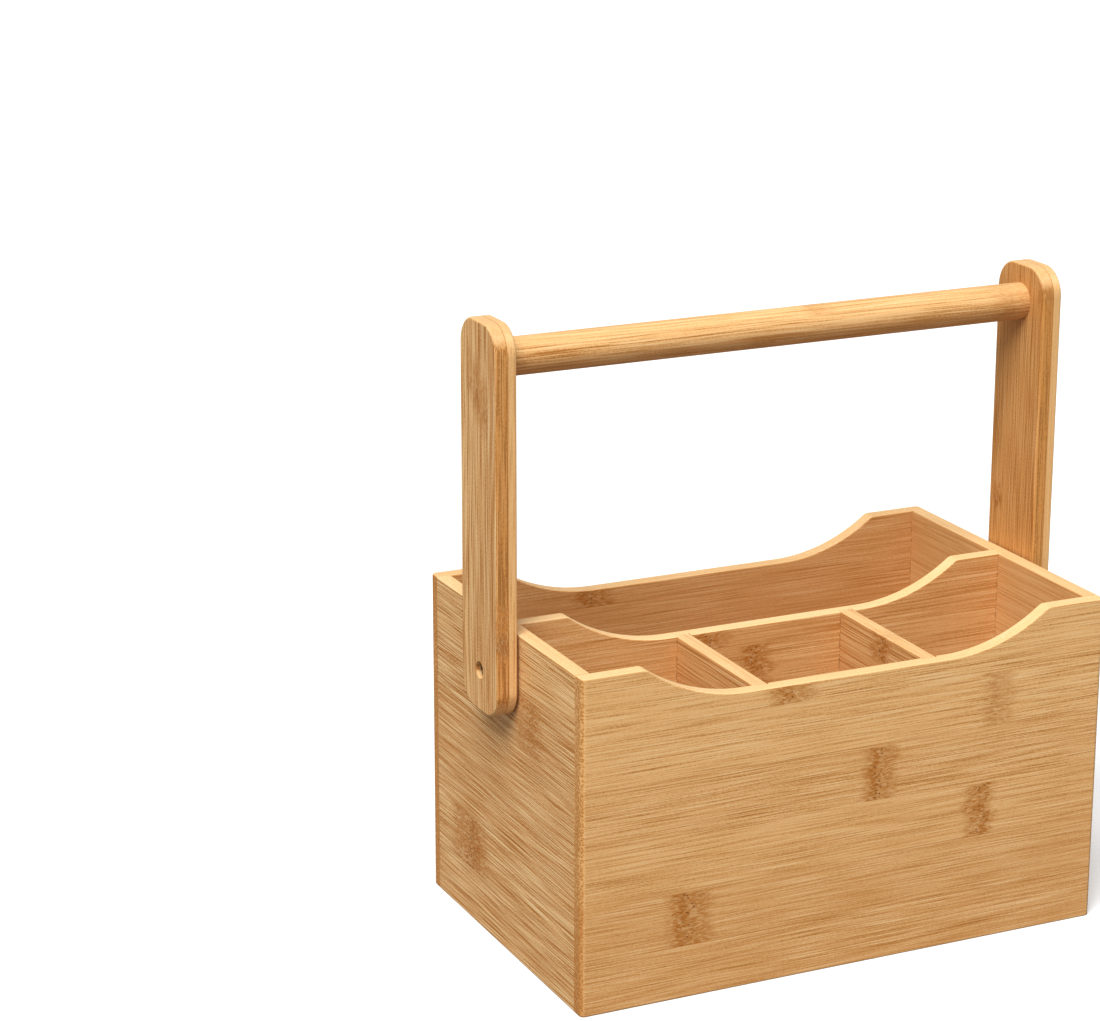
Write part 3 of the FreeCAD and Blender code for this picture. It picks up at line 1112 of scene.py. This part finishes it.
class CADDY_OT_dividers(FinishOperator):
    """Finishes the long divider and the two cross dividers"""

    bl_idname = "caddy.dividers"
    bl_label = "Dividers"

    def execute(self, context):
        grain = context.scene.caddy_grain
        long_divider = Board(
            node="long_divider",
            axes=ALONG_X,
            seed=37,
            contrast=grain.divider_contrast,
            marks=LONG_DIVIDER_MARKS,
            corner_shades=LONG_DIVIDER_CORNER_SHADE,
            tone=0.1,
        )
        left_cross = Board(
            node="left_cross_divider",
            axes=ALONG_Y,
            seed=41,
            contrast=grain.divider_contrast * 1.3,
            marks=LEFT_CROSS_MARKS,
            tone=0.18,
            pale_edge_and_highlight=0.6,
            first_joint=grain.cross_joint,
        )
        right_cross = left_cross._replace(node="right_cross_divider", seed=43, marks=RIGHT_CROSS_MARKS)
        for board in (long_divider, left_cross, right_cross):
            bamboo(board)
        return {"FINISHED"}


class CADDY_OT_handle_arms(FinishOperator):
    """Finishes the two-ply handle arms"""

    bl_idname = "caddy.handle_arms"
    bl_label = "Handle Arms"

    def execute(self, context):
        grain = context.scene.caddy_grain
        left = Board(
            node="left_handle_arm",
            axes=ALONG_Z,
            seed=47,
            contrast=grain.handle_contrast * 1.5,
            marks=LEFT_ARM_MARKS,
            tone=0.5,
            lean=0.3,
            pale_edge_and_highlight=0.12,
            bare_ends=0.3,
            strip_height=grain.arm_strip,
            ply_face=0.05,
        )
        right = left._replace(
            node="right_handle_arm",
            seed=53,
            contrast=grain.handle_contrast * 0.7,
            marks=RIGHT_ARM_MARKS,
            tone=0.3,
            lean=0.1,
            ply_face=0.55,
        )
        for arm in (left, right):
            low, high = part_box(arm.node)
            glue_line = low.x + grain.ply_share * (high.x - low.x)
            bamboo(arm._replace(glue_line=glue_line, first_joint=low.y - grain.arm_strip / 2.0))
        return {"FINISHED"}


class CADDY_OT_handle_rod(FinishOperator):
    """Finishes the round grip"""

    bl_idname = "caddy.handle_rod"
    bl_label = "Handle Rod"

    def execute(self, context):
        grain = context.scene.caddy_grain
        rod = Board(
            node="handle_rod",
            axes=ALONG_X,
            seed=59,
            contrast=grain.handle_contrast * 0.9,
            marks=ROD_MARKS,
            tone=0.35,
            # Painted shade: the rod darker on its underside and lighter on its top.
            lean=0.6,
            # Painted highlight: the pale sawn colour laid along the rod's top and underside.
            pale_edge_and_highlight=0.2,
            strip_height=grain.rod_strip,
            first_joint=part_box("handle_rod")[0].z,
        )
        bamboo(rod)
        return {"FINISHED"}


class CADDY_OT_pivots(FinishOperator):
    """Finishes the pivot screws and their washers"""

    bl_idname = "caddy.pivots"
    bl_label = "Pivots"

    def execute(self, context):
        steel = plated_steel("Zinc plated steel")
        nylon = moulded_nylon("Dark nylon")
        for side in ("left", "right"):
            dress(side + "_pivot_screw", steel)
            dress(side + "_pivot_washer", nylon)
        return {"FINISHED"}


FLOOR_SIDES = 96
FLOOR_FLECKS = (6.0, 6.0, 6.0)
FLOOR_FLECK_FADE = (0.35, 0.65)
FLOOR_FLECK_SHADE = 0.985
FLOOR_ROUGHNESS = 0.9
FLOOR_SPECULAR = 0.1
CLIP_START = 0.05
CLIP_END = 60.0
WHITE = (1.0, 1.0, 1.0)


def direction(azimuth, elevation):
    """The unit vector from the caddy towards a light or a camera."""
    level = math.cos(elevation)
    return Vector((math.sin(azimuth) * level, -math.cos(azimuth) * level, math.sin(elevation)))


def facing(azimuth, elevation):
    """The turn that makes a light or a camera there look back at the caddy."""
    return direction(azimuth, elevation).to_track_quat("Z", "Y").to_euler()


class CADDY_OT_stage(FinishOperator):
    """Adds the floor, the light and the camera"""

    bl_idname = "caddy.stage"
    bl_label = "Stage"

    def execute(self, context):
        stage = context.scene.caddy_stage
        self.add_floor(context.scene, stage)
        self.add_light(context.scene, stage)
        self.add_camera(context.scene, stage)
        return {"FINISHED"}

    def add_floor(self, scene, stage):
        shape = bmesh.new()
        bmesh.ops.create_circle(shape, cap_ends=True, segments=FLOOR_SIDES, radius=stage.floor_radius)
        mesh = bpy.data.meshes.new("studio_floor")
        shape.to_mesh(mesh)
        shape.free()
        floor = bpy.data.objects.new("studio_floor", mesh)
        scene.collection.objects.link(floor)
        material, wiring = start_material("Studio paper")
        place = wiring.node("ShaderNodeTexCoord").outputs["Object"]
        fleck = wiring.noise(wiring.stretch(place, FLOOR_FLECKS)).fade(*FLOOR_FLECK_FADE)
        dimmer = tuple(channel * FLOOR_FLECK_SHADE for channel in stage.floor_colour)
        tint = wiring.blend(fleck, opaque(stage.floor_colour), opaque(dimmer))
        sight = wiring.node("ShaderNodeLightPath").outputs["Is Camera Ray"]
        shader = {
            "Base Color": wiring.blend(sight, opaque(stage.bounce_colour), tint),
            "Roughness": FLOOR_ROUGHNESS,
            "Specular IOR Level": FLOOR_SPECULAR,
        }
        finish_material(wiring, shader)
        mesh.materials.append(material)

    def add_light(self, scene, stage):
        world = bpy.data.worlds.new("Studio room")
        world.use_nodes = True
        sky = {"Color": opaque(WHITE), "Strength": stage.sky_strength}
        Wiring(world.node_tree).fill(world.node_tree.nodes["Background"].inputs, sky)
        scene.world = world
        lamp = bpy.data.lights.new("Key light", "SUN")
        lamp.energy = stage.key_strength
        lamp.angle = stage.key_spread
        holder = bpy.data.objects.new("Key light", lamp)
        holder.rotation_euler = facing(stage.key_azimuth, stage.key_elevation)
        scene.collection.objects.link(holder)

    def add_camera(self, scene, stage):
        lens = bpy.data.cameras.new("Camera")
        lens.sensor_fit = "HORIZONTAL"
        lens.lens = stage.lens
        lens.clip_start = CLIP_START
        lens.clip_end = CLIP_END
        camera = bpy.data.objects.new("Camera", lens)
        scene.collection.objects.link(camera)
        camera.location = stage.station
        camera.rotation_euler = facing(stage.azimuth, stage.elevation)
        scene.camera = camera
        scene.view_settings.view_transform = "Standard"


class CADDY_PT_finishes(bpy.types.Panel):
    """Lists the caddy's finishes and settings"""

    bl_label = "Utensil Caddy"
    bl_idname = "CADDY_PT_finishes"
    bl_space_type = "VIEW_3D"
    bl_region_type = "UI"
    bl_category = "Caddy"

    def draw(self, context):
        column = self.layout.column(align=True)
        for step in STEPS:
            column.operator(step.bl_idname)
        for settings in (context.scene.caddy_colours, context.scene.caddy_grain, context.scene.caddy_stage):
            section = self.layout.box().column()
            for name in type(settings).__annotations__:
                section.prop(settings, name)


STEPS = (
    CADDY_OT_side_panels,
    CADDY_OT_end_panels,
    CADDY_OT_floor,
    CADDY_OT_dividers,
    CADDY_OT_handle_arms,
    CADDY_OT_handle_rod,
    CADDY_OT_pivots,
    CADDY_OT_stage,
)
CLASSES = (CaddyColours, CaddyGrain, CaddyStage, *STEPS, CADDY_PT_finishes)


def register():
    for item in CLASSES:
        bpy.utils.register_class(item)
    bpy.types.Scene.caddy_colours = bpy.props.PointerProperty(type=CaddyColours)
    bpy.types.Scene.caddy_grain = bpy.props.PointerProperty(type=CaddyGrain)
    bpy.types.Scene.caddy_stage = bpy.props.PointerProperty(type=CaddyStage)


def unregister():
    del bpy.types.Scene.caddy_stage
    del bpy.types.Scene.caddy_grain
    del bpy.types.Scene.caddy_colours
    for item in reversed(CLASSES):
        bpy.utils.unregister_class(item)


def main():
    register()
    bpy.ops.caddy.side_panels()
    bpy.ops.caddy.end_panels()
    bpy.ops.caddy.floor()
    bpy.ops.caddy.dividers()
    bpy.ops.caddy.handle_arms()
    bpy.ops.caddy.handle_rod()
    bpy.ops.caddy.pivots()
    bpy.ops.caddy.stage()


if __name__ == "__main__":
    main()
